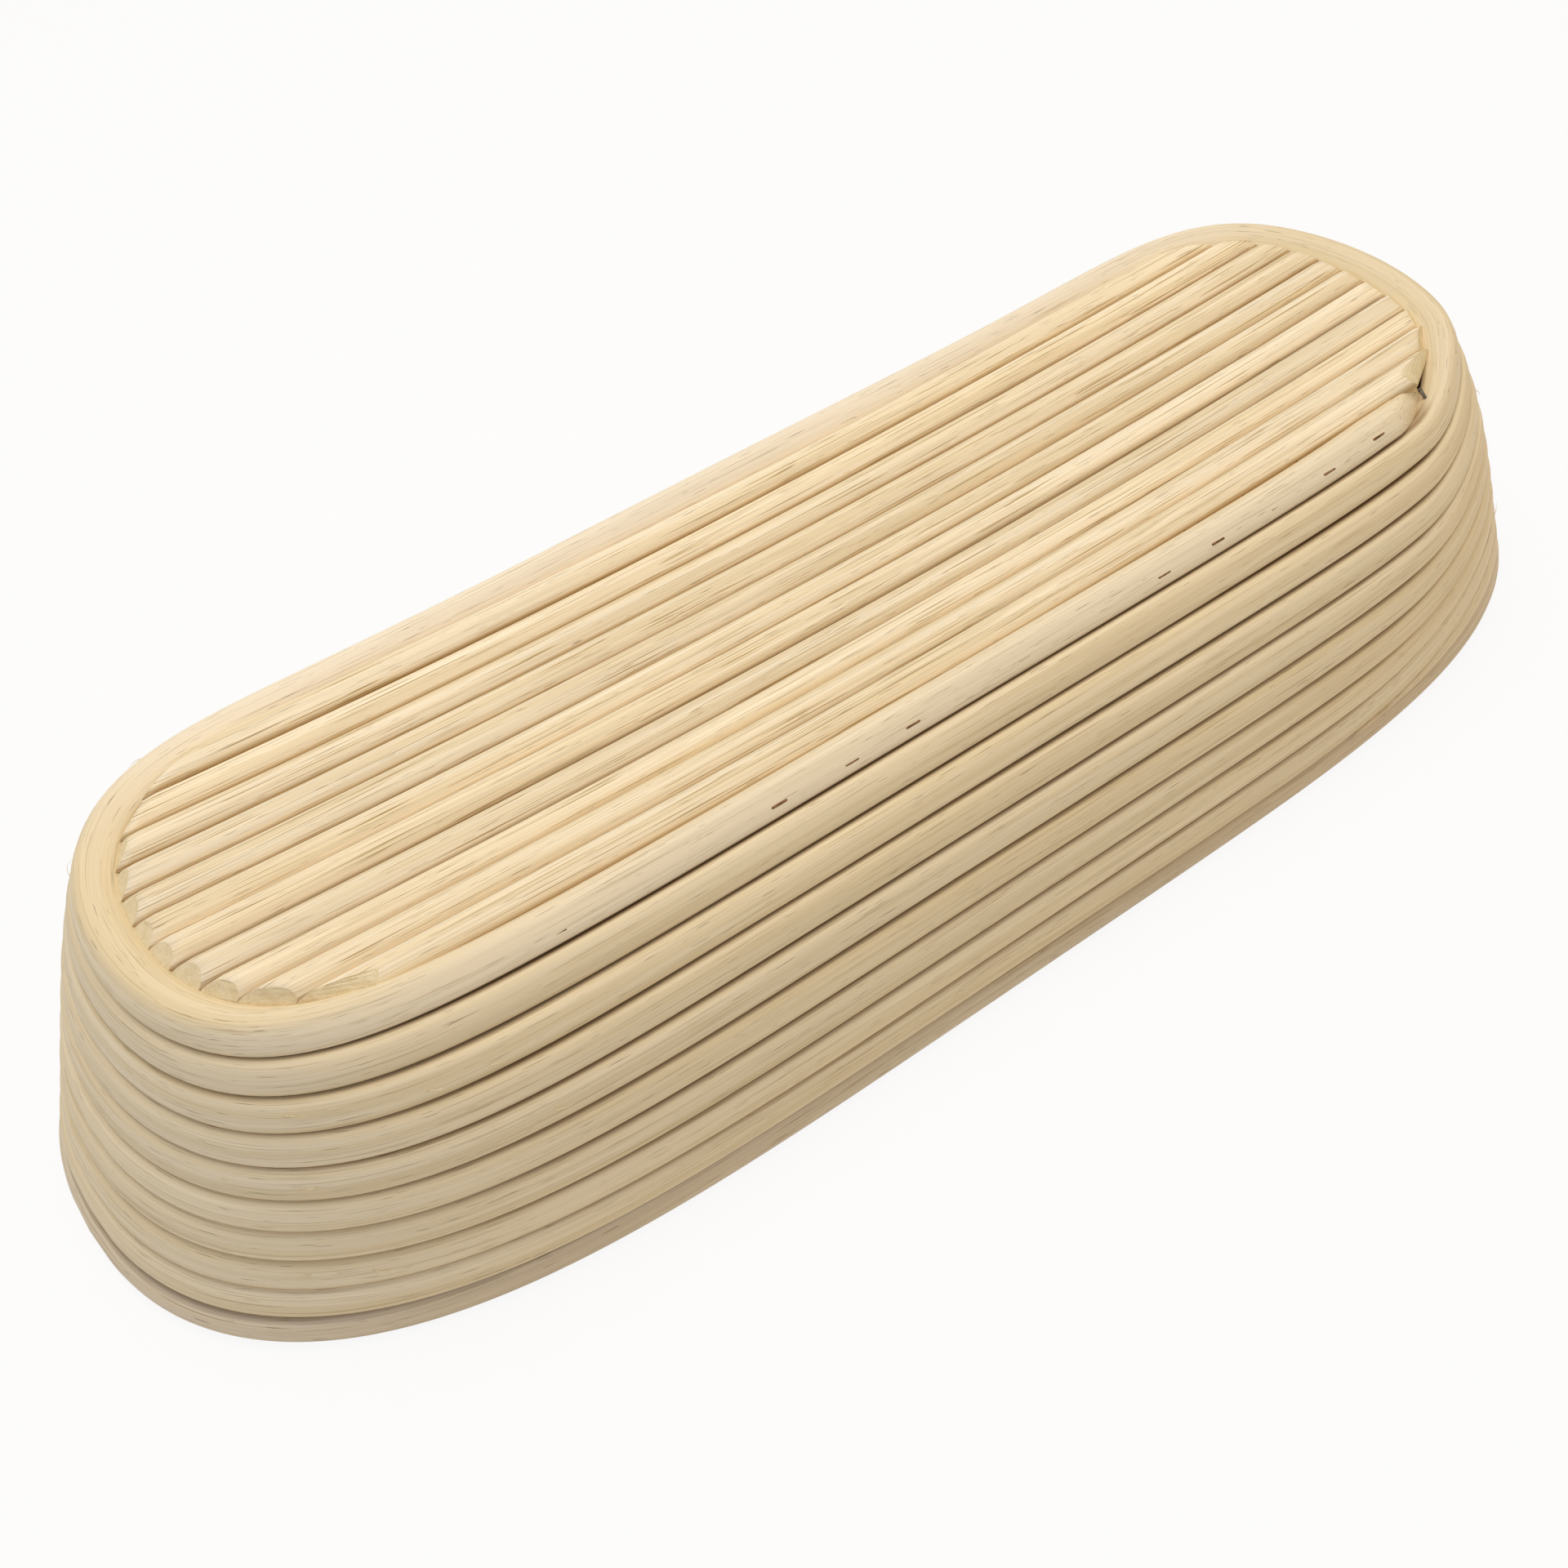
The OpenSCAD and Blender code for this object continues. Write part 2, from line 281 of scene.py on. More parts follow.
def rattan_material(name, pale, deep, line_tint, groove_shade_tint, vessel_tint, shade_from, figure):
    """Peeled rattan in two shades, with tints for its lines, grooves and vessels.

    The groove tint is painted shade, which begins where "groove" passes the start given for it, and figure
    says how clear the lines are.
    """
    made, tree = new_material(name)
    grain = add(tree, "ShaderNodeAttribute", {"attribute_name": "grain"}).outputs["Vector"]
    groove, tone, painted_light = [add(tree, "ShaderNodeAttribute", {"attribute_name": attribute}).outputs["Fac"]
                            for attribute in ("groove", "tone", "painted_light")]
    streak = grain_noise(tree, grain, STREAK_WIDTH, STREAK_LENGTH, detail=3.0, roughness=0.6)
    band = grain_noise(tree, grain, BAND_WIDTH, BAND_LENGTH, detail=2.0, roughness=0.5)
    line = grain_noise(tree, grain, LINE_WIDTH, LINE_LENGTH, detail=1.0, roughness=0.5)
    vessel = grain_noise(tree, grain, VESSEL_WIDTH, VESSEL_LENGTH, detail=1.0, roughness=0.5)
    deeper = add(tree, "ShaderNodeMapRange", SMOOTH, {"Value": band, "From Min": 0.3, "From Max": 0.7})
    streaks = add(tree, "ShaderNodeMapRange", SMOOTH, {
        "Value": streak, "From Min": 0.3, "From Max": 0.72,
        "To Min": 1 + 0.04 * figure, "To Max": 1 - 0.14 * figure})
    # Painted shade: an ochre tint that grows where "groove" is high, in patches that follow the band noise.
    deep_in = add(tree, "ShaderNodeMapRange", SMOOTH, {
        "Value": groove, "From Min": shade_from, "From Max": 1.0})
    patchy = add(tree, "ShaderNodeMapRange", SMOOTH, {
        "Value": band, "From Min": 0.2, "From Max": 0.75, "To Min": 0.5, "To Max": 1.0})
    groove_shade = add(tree, "ShaderNodeMath", PRODUCT, {0: deep_in.outputs[0], 1: patchy.outputs[0]})
    hairlines = add(tree, "ShaderNodeMapRange", SMOOTH, {
        "Value": line, "From Min": 0.63, "From Max": 0.68, "To Min": 0.0, "To Max": 0.8 * figure})
    dashes = add(tree, "ShaderNodeMapRange", SMOOTH, {"Value": vessel, "From Min": 0.69, "From Max": 0.76})
    brown = add(tree, "ShaderNodeMath", PRODUCT, {0: dashes.outputs[0], 1: VESSEL_STRENGTH})
    colour = linear(pale)
    # Layers in turn: deeper cane, painted light as a paler colour, streaks, tone, painted shade in the
    # grooves, hairlines and vessel dashes.
    for way, share, layer in (
            (COVER, deeper.outputs[0], linear(deep)),
            (COVER, painted_light, linear(PAINTED_LIGHT_COLOUR)),
            (STAIN, 1.0, streaks.outputs[0]),
            (STAIN, 1.0, tone),
            (COVER, groove_shade.outputs[0], linear(groove_shade_tint)),
            (COVER, hairlines.outputs[0], linear(line_tint)),
            (COVER, brown.outputs[0], linear(vessel_tint))):
        laid = add(tree, "ShaderNodeMix", way, {FACTOR: share, BELOW: colour, ON_TOP: layer})
        colour = laid.outputs[MIXED]
    relief = add(tree, "ShaderNodeMath", {"operation": "SUBTRACT"}, {0: streak, 1: dashes.outputs[0]})
    bump = add(tree, "ShaderNodeBump", {}, {
        "Strength": 0.35, "Distance": 0.15 * MM, "Height": relief.outputs[0]})
    roughness = add(tree, "ShaderNodeMapRange", SMOOTH, {
        "Value": streak, "From Min": 0.3, "From Max": 0.7, "To Min": 0.5, "To Max": 0.64})
    shader = add(tree, "ShaderNodeBsdfPrincipled", {}, {
        "Base Color": colour, "Roughness": roughness.outputs[0], "IOR": 1.48, "Specular IOR Level": 0.35,
        "Normal": bump.outputs[0]})
    add(tree, "ShaderNodeOutputMaterial", {}, {"Surface": shader.outputs[0]})
    return made


# The paler colour of the painted light.
print("faded cane:", PAINTED_LIGHT_COLOUR)

# %% Three kinds of peeled rattan
# The rods are the palest cane, with clear lines, and get painted shade only deep in their joints.
rod_rattan = rattan_material(
    "peeled_rattan_rods", pale="#F6E6C7", deep="#E9D4AC", line_tint="#A98848", groove_shade_tint="#B9965F",
    vessel_tint="#846236", shade_from=0.86, figure=1.0)
# The wall's cane is bent and rubbed smooth, with faint lines. It is painted a little darker than the rods,
# as painted shade, and warmer, with brown painted shade in its grooves.
wall_rattan = rattan_material(
    "peeled_rattan_wall", pale="#EDDBB7", deep="#E2CDA3", line_tint="#AC8F5C", groove_shade_tint="#80603A",
    vessel_tint="#7E6038", shade_from=0.72, figure=0.5)
# The rim stands on the table, and is painted a little greyer and darker, as painted shade.
rim_rattan = rattan_material(
    "peeled_rattan_rim", pale="#E3D2B4", deep="#D4BF9B", line_tint="#A68A58", groove_shade_tint="#80623A",
    vessel_tint="#7A5C38", shade_from=0.72, figure=0.7)
print("materials:", [material.name for material in (rod_rattan, wall_rattan, rim_rattan)])

# %% [markdown]
# ## Cut ends
# Where a cane is sawn through, its vessels show as a scatter of dark dots in a soft tan pith, and the face
# is rougher than the skin. Modelled holes would be far too many, so a pattern of cells draws the dots, in
# the colour and in the bump. Vessels stand about a third of a millimetre apart, and are drawn a little
# coarser so that they show.

# %% Sawn end-grain material
PORE_CELL, PITH_CLOUD = 0.45, 2.0
PORE_STRENGTH = 0.3


def end_grain_material():
    made, tree = new_material("sawn_rattan_end_grain")
    grain = add(tree, "ShaderNodeAttribute", {"attribute_name": "grain"}).outputs["Vector"]
    cells = add(tree, "ShaderNodeTexVoronoi", {"feature": "F1"}, {"Vector": grain, "Scale": 1 / PORE_CELL})
    dots = add(tree, "ShaderNodeMapRange", SMOOTH, {
        "Value": cells.outputs["Distance"], "From Min": 0.16, "From Max": 0.3, "To Min": 1.0, "To Max": 0.0})
    dark = add(tree, "ShaderNodeMath", PRODUCT, {0: dots.outputs[0], 1: PORE_STRENGTH})
    cloud = add(tree, "ShaderNodeTexNoise", {}, {"Vector": grain, "Scale": 1 / PITH_CLOUD, "Detail": 4.0})
    cloudy = add(tree, "ShaderNodeMapRange", SMOOTH, {
        "Value": cloud.outputs[0], "From Min": 0.35, "From Max": 0.65})
    colour = linear("#EBDAB4")
    for share, layer in ((cloudy.outputs[0], "#E4D0A4"), (dark.outputs[0], "#9E7E4A")):
        laid = add(tree, "ShaderNodeMix", COVER, {FACTOR: share, BELOW: colour, ON_TOP: linear(layer)})
        colour = laid.outputs[MIXED]
    bump = add(tree, "ShaderNodeBump", {"invert": True}, {
        "Strength": 0.5, "Distance": 0.2 * MM, "Height": dots.outputs[0]})
    shader = add(tree, "ShaderNodeBsdfPrincipled", {}, {
        "Base Color": colour, "Roughness": 0.85, "IOR": 1.48, "Specular IOR Level": 0.2,
        "Normal": bump.outputs[0]})
    add(tree, "ShaderNodeOutputMaterial", {}, {"Surface": shader.outputs[0]})
    return made


end_grain = end_grain_material()
print("material:", end_grain.name)

# %% [markdown]
# ## Sweeping a cane
# A cane is a round section carried along a line. A curve object with a bevel would do that, but it can't
# squeeze the section where a cane tapers, and it carries no attributes. So one function makes the mesh
# itself: a ring of points at each place of the line, four-sided faces between rings, and a sawn face at
# each end.


# %% Faces of a tube
def end_strips(sides):
    """Faces across a sawn end, in level strips from the bottom to the top of its section."""
    steps = np.arange(sides // 2 + 1)
    bottom = 3 * sides // 4
    right, left = (bottom + steps) % sides, (bottom - steps) % sides
    strips = [[right[i], right[i + 1], left[i + 1], left[i]] for i in steps[:-1]]
    return [list(dict.fromkeys(int(corner) for corner in strip)) for strip in strips]


def tube_faces(rings, sides, closed):
    """Faces of a tube made of rings of points: its skin, and the strips across its two ends."""
    index = np.arange(rings * sides).reshape(rings, sides)
    ahead = np.roll(index, -1, 0) if closed else index[1:]
    here = index if closed else index[:-1]
    skin = np.stack([here, ahead, np.roll(ahead, -1, 1), np.roll(here, -1, 1)], -1).reshape(-1, 4).tolist()
    first = [index[0][strip].tolist() for strip in end_strips(sides)]
    last = [index[-1][strip[::-1]].tolist() for strip in end_strips(sides)]
    return skin, [] if closed else first + last


print("strips across an end of 8 sides:", end_strips(8))

# %% UV map for baking
SKIN_SHARE, ROW_FILL = 0.95, 0.96
DISC_R, DISC_HEIGHT = 0.02, 0.975
FIRST_DISC, LAST_DISC = 0.25, 0.75


def strip_map(mesh, rings, sides, rows, closed):
    """The skin is cut into rows of equal length, and the sawn ends share the strip above them."""
    spans = rings if closed else rings - 1
    per_row = math.ceil(spans / rows)
    span = np.arange(spans)
    row, column = span // per_row, span % per_row
    side = np.arange(sides)
    low = (row[:, None] + ROW_FILL * side / sides) / rows * SKIN_SHARE
    high = (row[:, None] + ROW_FILL * (side + 1) / sides) / rows * SKIN_SHARE
    edges = column / per_row, (column + 1) / per_row
    start, stop = (np.broadcast_to(edge[:, None], low.shape) for edge in edges)
    quads = np.stack([start, low, stop, low, stop, high, start, high], -1).reshape(-1, 2)
    turn = 2 * math.pi * side / sides
    disc = np.stack([DISC_R * np.cos(turn), DISC_HEIGHT + DISC_R * np.sin(turn)], -1)
    first = np.concatenate([disc[strip] for strip in end_strips(sides)]) + [FIRST_DISC, 0]
    last = np.concatenate([disc[strip[::-1]] for strip in end_strips(sides)]) + [LAST_DISC, 0]
    corners = quads if closed else np.concatenate([quads, first, last])
    mesh.uv_layers.new(name="OFBake").uv.foreach_set("vector", corners.astype(np.float32).ravel())


print("the skin takes %.0f%% of the map" % (100 * SKIN_SHARE * ROW_FILL))


# %% Cane object
def set_attribute(mesh, name, kind, values):
    field = "vector" if kind == "FLOAT_VECTOR" else "value"
    mesh.attributes.new(name, kind, "POINT").data.foreach_set(field, np.ravel(values).astype(np.float32))


def cane_object(name, points, grain, groove, tone, material, painted_light=0.0, rows=1, closed=False):
    """A cane from its rings of points, in millimetres, as an array of rings, sides and coordinates."""
    rings, sides = points.shape[:2]
    skin, ends = tube_faces(rings, sides, closed)
    mesh = bpy.data.meshes.new(name)
    mesh.from_pydata((points.reshape(-1, 3) * MM).tolist(), [], skin + ends)
    mesh.polygons.foreach_set("use_smooth", [True] * len(skin) + [False] * len(ends))
    mesh.polygons.foreach_set("material_index", [0] * len(skin) + [1] * len(ends))
    set_attribute(mesh, "grain", "FLOAT_VECTOR", grain)
    set_attribute(mesh, "groove", "FLOAT", np.broadcast_to(groove, (rings, sides)))
    set_attribute(mesh, "tone", "FLOAT", np.broadcast_to(np.reshape(tone, (-1, 1)), (rings, sides)))
    set_attribute(mesh, "painted_light", "FLOAT", np.broadcast_to(np.reshape(painted_light, (-1, 1)), (rings, sides)))
    strip_map(mesh, rings, sides, rows, closed)
    mesh.materials.append(material)
    mesh.materials.append(end_grain)
    made = bpy.data.objects.new(name, mesh)
    bpy.context.collection.objects.link(made)
    return made


def hand_over(made, nodes):
    """Rides the basket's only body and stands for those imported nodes."""
    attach(made, "root")
    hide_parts(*nodes)


print("a cane has the materials of its skin and of", end_grain.name)

# %% [markdown]
# ## No two lengths are alike
# Rattan grows, so a cane is never quite straight or evenly thick. A noise modifier would shake each point
# by itself, but slow waves along the line leave the cane smooth. All chance comes from one seeded source,
# so that each run gives the same basket.

# %% Slow waves along a cane
HARMONICS, WAVE_STRETCH = 4, 1.7
dice = np.random.default_rng(41)


def wander(distance, size, wavelength):
    """A sum of sine waves of about that size and wavelength, each with a phase of its own."""
    total = np.zeros(np.shape(distance))
    for harmonic in range(1, HARMONICS + 1):
        phase = dice.uniform(0, 2 * math.pi)
        total += np.sin(2 * math.pi * harmonic * distance / wavelength / WAVE_STRETCH + phase) / harmonic
    return size * total


print("waves in a cane:", HARMONICS)

# %% [markdown]
# ## The floor of rods
# Eleven straight canes lie side by side and are sawn off to the oval, so the outer ones end in long
# slanting cuts. The saw also slants back over the upper half of each end, so that the cut faces show. A
# Boolean could cut them, but here each line of points along a rod simply ends where it meets the cut. At
# the corner where the wall cane comes round to its second course there is room for longer rods, and one
# joint has opened a little. The ends of the basket are higher than its sides, so the rods are bowed.

# %% Dished floor and sawn oval
ROD_SINK, ROD_BOW = 3.0, 7.0
ROD_TRIM = SOLID_CANE_R + ROD_GAP
OVAL_STEPS = 400


def rod_z(x, y):
    """The rods bow up towards their ends, and the middle ones lie lowest."""
    return SIDE_Z - ROD_SINK * (1 - (y / BASE_HALF_W) ** 2) + ROD_BOW * (x / HALF_L) ** 2


quarter = np.arccos(np.linspace(1, 0, OVAL_STEPS) ** (1 / RING_SPREAD))
oval = outline(0, quarter) - ROD_TRIM * outward(0, quarter)
print("middle rod: from %.1f mm up to %.1f mm at its ends" % (rod_z(0, 0), rod_z(HALF_L, 0)))

# %% Base rods
ROD_SIDES, ROD_RINGS, ROD_R = 24, 130, 3.97
ROD_BEVEL, BEVEL_START = math.radians(45), 0.5
# The outer rods are cut no nearer to the oval's side than OUTER_SKIN.
OUTER_SKIN, CORNER_ROOM = 3.2, 4.0
# The open joint lies between rods 4 and 5, and pushes the next rods aside too.
WIDE_JOINT, WIDER_BY, WIDE_REACH = 4.5, 0.7, 4
ROD_SCATTER, SAW_SCATTER = 0.12, 0.12
THINNER_BY, SAW_ROUNDING = 0.1, 0.06
# A wave is its size and its wavelength. The size of swell and tone is a share of the whole.
SWELL_WAVE, SIDE_WAVE, HEIGHT_WAVE = (0.006, 220), (0.1, 400), (0.08, 300)
OUTER_RODS_PALER = 0.06
TONE_SCATTER, TONE_WAVE = 0.05, (0.015, 350)
DARKEST, LIGHTEST = 0.9, 1.08
GRAIN_RANGE = 900
rod_turn = 2 * math.pi * np.arange(ROD_SIDES) / ROD_SIDES


def base_rod(number):
    """A straight rod with its own place, thickness, grain and shade."""
    past = number - WIDE_JOINT
    pushed = WIDER_BY / 2 * np.sign(past) * max(1 - (abs(past) - 0.5) / WIDE_REACH, 0)
    y_middle = (number - (ROD_COUNT + 1) / 2) * ROD_PITCH + pushed + dice.uniform(-ROD_SCATTER, ROD_SCATTER)
    radius = ROD_R - abs(dice.normal(0, THINNER_BY))
    across, upright = radius * np.cos(rod_turn), radius * np.sin(rod_turn)
    y_line = np.minimum(np.abs(y_middle + across), oval[-1, 1] - OUTER_SKIN)
    slant = np.maximum(upright + BEVEL_START, 0) * math.tan(ROD_BEVEL)
    saw_marks = dice.uniform(-SAW_SCATTER, SAW_SCATTER, ROD_SIDES)
    reach = np.interp(y_line, oval[:, 1], oval[:, 0]) - slant + saw_marks
    share = np.linspace(-1, 1, ROD_RINGS)[:, None]
    room = CORNER_ROOM * max(-y_middle / BASE_HALF_W, 0) ** 2
    x = share * np.where(share > 0, reach + room, reach)
    rounded = SAW_ROUNDING * np.clip((np.abs(share) - 1) * ROD_RINGS / 2 + 1, 0, 1)
    swell = 1 + wander(x[:, :1], *SWELL_WAVE) - rounded
    y = y_middle + wander(x, *SIDE_WAVE) + swell * across
    z = rod_z(x, y_middle) + wander(x, *HEIGHT_WAVE) + swell * upright
    grain = np.stack(np.broadcast_arrays(x, across, upright), -1) + dice.uniform(0, GRAIN_RANGE, 3)
    paler = OUTER_RODS_PALER * abs(y_middle) / BASE_HALF_W
    shade = np.clip(dice.normal(1.0, TONE_SCATTER), DARKEST, LIGHTEST)
    tone = shade + paler + wander(x[:, :1], *TONE_WAVE)
    points = np.stack([x, y, z], -1)
    # The groove value, and with it the painted shade, is highest on the sides that face the next rods.
    return cane_object("rod_%02d" % number, points, grain, np.abs(np.cos(rod_turn)), tone, rod_rattan)


rods = [base_rod(number) for number in range(1, ROD_COUNT + 1)]
for number, rod in enumerate(rods, 1):
    hand_over(rod, ["base_rod_%d" % number])
print("rods:", len(rods), "longest: %.1f mm" % (max(rod.dimensions.x for rod in rods) / MM))

# %% [markdown]
# ## The wound wall
# One cane, more than eight metres long, goes nine times round, and steps down by one course at the same end
# of the basket on every turn, each time a little later. It begins as a straight piece beside the rods, cut
# off slantwise where the first turn comes round and passes below it. Its other end tapers out between the
# wall and the rim. The line could be drawn as nine separate rings, but the steps and the two ends are what
# shows that it is wound. It is first drawn finely from the formulas and then divided into even steps, so
# that the grain isn't stretched. Where cane lies on cane it is pressed a little flat, so its section is a
# rounded square rather than a circle.

# %% Turns and steps
TURNS = RIM_LEVEL
CANE_R = 4.16
START_ANGLE, FIRST_STEP, LAST_STEP = (math.radians(angle) for angle in (62, 30, 45))
FIRST_STEP_LENGTH, LAST_STEP_LENGTH = (math.radians(angle) for angle in (27, 38))
# Shares of the cane's thickness: what is left of it at its two tips, and what the first course gains.
THINNEST = 0.05
SIDE_BULGE, END_BULGE = 0.05, 0.27
SAME_ANGLE_DIGITS = 9


def bulge(level, angle):
    """Extra width of the first course on its inner side, most of all where it is bent round the ends."""
    return np.clip(1 - level, 0, 1) * (SIDE_BULGE + END_BULGE * outward(0, angle)[..., 0] ** 2)


four_quarters = np.concatenate([quarter, math.pi - quarter, math.pi + quarter, -quarter])
circle = np.unique(np.mod(np.unique(np.round(four_quarters, SAME_ANGLE_DIGITS)), 2 * math.pi))
sweep = np.concatenate([circle - 2 * math.pi * turn for turn in range(TURNS + 2)])
sweep = np.sort(sweep)[::-1]
course = np.zeros(len(sweep))
for turn in range(1, TURNS + 1):
    lateness = (turn - 1) / (TURNS - 1)
    step_start = 2 * math.pi * turn + FIRST_STEP + (LAST_STEP - FIRST_STEP) * lateness
    step_length = FIRST_STEP_LENGTH + (LAST_STEP_LENGTH - FIRST_STEP_LENGTH) * lateness
    into_step = np.clip((-sweep - step_start) / step_length, 0, 1)
    course += into_step ** 2 * (3 - 2 * into_step)
keep = (-sweep > START_ANGLE) & (course < TURNS - THINNEST)
sweep, course = sweep[keep], course[keep]
thickness = np.minimum(TURNS - course, 1.0)
centre_course = np.where(course > TURNS - 1, (TURNS - 1 + course) / 2, course)
extra = bulge(course, sweep)
path = cane_point(centre_course, sweep)
slope = slope_at(centre_course, sweep)
print("turns:", TURNS, "drawn with", len(path), "points")

# %% Straight start and even steps
START_LENGTH, START_CUT, START_POINTS = 24.0, 17.0, 16
SPACING = 3.0
ahead = np.linspace(START_LENGTH, 0, START_POINTS, endpoint=False)
cut = np.clip((START_LENGTH - ahead) / START_CUT, THINNEST, 1)
backward = unit((path[0] - path[1]) * [1, 1, 0])
path = np.concatenate([path[0] + ahead[:, None] * backward, path])
slope = np.concatenate([np.tile(slope[0], (START_POINTS, 1)), slope])
width = np.concatenate([cut, np.ones(len(course))])
thickness = np.concatenate([np.ones(START_POINTS), thickness])
course = np.concatenate([np.zeros(START_POINTS), course])
extra = np.concatenate([np.full(START_POINTS, extra[0]), extra])
distance = np.concatenate([[0], np.cumsum(np.linalg.norm(np.diff(path, axis=0), axis=1))])
even = np.linspace(0, distance[-1], int(distance[-1] / SPACING))


def at_even_steps(values):
    return np.stack([np.interp(even, distance, column) for column in np.atleast_2d(values.T)], -1)


path, slope = at_even_steps(path), unit(at_even_steps(slope))
thickness, width, course, extra = at_even_steps(np.stack([thickness, width, course, extra], -1)).T
print("winding: %.2f m long in %d rings" % (even[-1] * MM, len(even)))

# %% Section of the winding
WALL_SIDES = 20
SECTION_SQUARENESS, PRESSED = 3.3, 1.03
ACROSS_WAVE, DOWN_WAVE, THICKNESS_WAVE = (0.07, 260), (0.05, 190), (0.004, 150)
wall_turn = 2 * math.pi * np.arange(WALL_SIDES) / WALL_SIDES
along = unit(np.gradient(path, axis=0))
across = unit(np.cross(along, slope))
downhill = np.cross(across, along)
outer_side = np.sign(np.sum(across[:, :2] * path[:, :2], -1))
path = path + across * (wander(even, *ACROSS_WAVE) - outer_side * CANE_R * (extra + 1 - width))[:, None]
path = path + downhill * wander(even, *DOWN_WAVE)[:, None]
wall_r = CANE_R * (1 + wander(even, *THICKNESS_WAVE))
half_width, half_thickness = wall_r * width + CANE_R * extra, wall_r * PRESSED * thickness
reach_across = half_width[:, None] * signed_power(np.cos(wall_turn), 2 / SECTION_SQUARENESS)
reach_down = half_thickness[:, None] * signed_power(np.sin(wall_turn), 2 / SECTION_SQUARENESS)
ring = reach_across[..., None] * across[:, None] + reach_down[..., None] * downhill[:, None]
points = path[:, None] + ring
print("section: %.2f by %.2f mm" % (2 * half_width[-1], 2 * CANE_R * PRESSED))

# %% Mesh of the winding
# The first course is painted paler, most on its far side: painted light. Groove shade is lightest at the
# left end.
FAR_PAINTED_LIGHT, NEAR_PAINTED_LIGHT, PAINTED_LIGHT_POWER = 0.9, 0.4, 4
GROOVE_SHADE_FADES_FROM, GROOVE_SHADE_LESS_BY = 0.7 * HALF_L, 0.12
LONG_TONE_WAVE, SHORT_TONE_WAVE = (0.018, 900), (0.012, 260)
grain = np.stack([np.broadcast_to(even[:, None], reach_down.shape), reach_across, reach_down], -1)
tone = 1 + wander(even, *LONG_TONE_WAVE) + wander(even, *SHORT_TONE_WAVE)
side = np.clip(path[:, 1] / HALF_W, -1, 1)
# Painted light: the first course grows paler towards the middle of each side, most on the far side.
painted_light = np.clip(1 - course, 0, 1) * np.where(side > 0, FAR_PAINTED_LIGHT, NEAR_PAINTED_LIGHT) * side ** PAINTED_LIGHT_POWER
# The groove value places the painted shade: on the lower side of each course, and on the upper side of all
# but the first.
lower_side, upper_side = np.maximum(np.sin(wall_turn), 0), np.maximum(-np.sin(wall_turn), 0)
groove = lower_side + upper_side * np.clip(course, 0, 1)[:, None]
# The painted shade in the grooves grows lighter towards the left end.
groove = groove * (1 - GROOVE_SHADE_LESS_BY * np.clip((-path[:, :1] - GROOVE_SHADE_FADES_FROM) / (HALF_L - GROOVE_SHADE_FADES_FROM), 0, 1))
wall = cane_object("wound_wall", points, grain, groove, tone, wall_rattan, painted_light, rows=TURNS)
hand_over(wall, ["wall_winding"])
print("wall:", len(wall.data.polygons), "faces")

# %% [markdown]
# ## The rim hoop
# The last course is a hoop whose ends are joined. It takes the wear of the table, so its underside is flat,
# and it is painted a little greyer than the rest, as painted shade. A torus would have to be bent to the
# oblong, so the hoop is swept like the other canes, and its lowest points are raised to the table.

# %% Rim hoop
RIM_RINGS = 420
RIM_GRAIN_START = 4000
# Waves round the whole hoop, so that its tone meets itself: their number, size and phase.
RIM_TONE_WAVES = ((3, 0.02, 0.0), (7, 0.015, 1.0))
DOWN = np.array([0, 0, -1.0])
rim_angle = np.concatenate([circle, [circle[0] + 2 * math.pi]])[::-1]
fine_line = cane_point(np.full(len(rim_angle), float(RIM_LEVEL)), rim_angle)
length = np.concatenate([[0], np.cumsum(np.linalg.norm(np.diff(fine_line, axis=0), axis=1))])
spot = np.linspace(0, length[-1], RIM_RINGS, endpoint=False)
line = np.stack([np.interp(spot, length, fine_line[:, i]) for i in range(3)], -1)
heading = unit(np.roll(line, -1, 0) - np.roll(line, 1, 0))
sideways = unit(np.cross(heading, DOWN))
reach_across, reach_down = CANE_R * np.cos(wall_turn), CANE_R * np.sin(wall_turn)
points = line[:, None] + reach_across[:, None] * sideways[:, None] + reach_down[:, None] * DOWN
points[..., 2] = np.maximum(points[..., 2], 0)
grain = np.stack(np.broadcast_arrays(spot[:, None], reach_across, reach_down), -1) + RIM_GRAIN_START
round_the_rim = 2 * math.pi * spot / length[-1]
tone = 1 + sum(size * np.sin(waves * round_the_rim + phase) for waves, size, phase in RIM_TONE_WAVES)
# Painted shade on the rim's upper side, where the wall rests on it.
groove = np.maximum(-np.sin(wall_turn), 0)
hoop = cane_object("rim_hoop_cane", points, grain, groove, tone, rim_rattan, closed=True)
hand_over(hoop, ["rim_hoop"])
print("rim: %.2f m round" % (length[-1] * MM))

# %% [markdown]
# ## Wire
# Staples hold the first course to the rods. Driven by hand, no two sit quite alike, and each has torn a few
# fibres and stained them with rust. A dark brown strip along each crown stands for these fibres, and also
# for the painted shade of the slit that the staple sank into. The imported ones are all alike, so they are
# bent anew here. Pins and brads inside the cane keep their imported shape and only get a steel finish. One
# recipe makes all four materials: colour noise of about a millimetre reads as tarnish on wire and as stains
# on fibre.

# %% Wire, torn fibre and slit shade materials
TARNISH_SIZE = 1.2 * MM


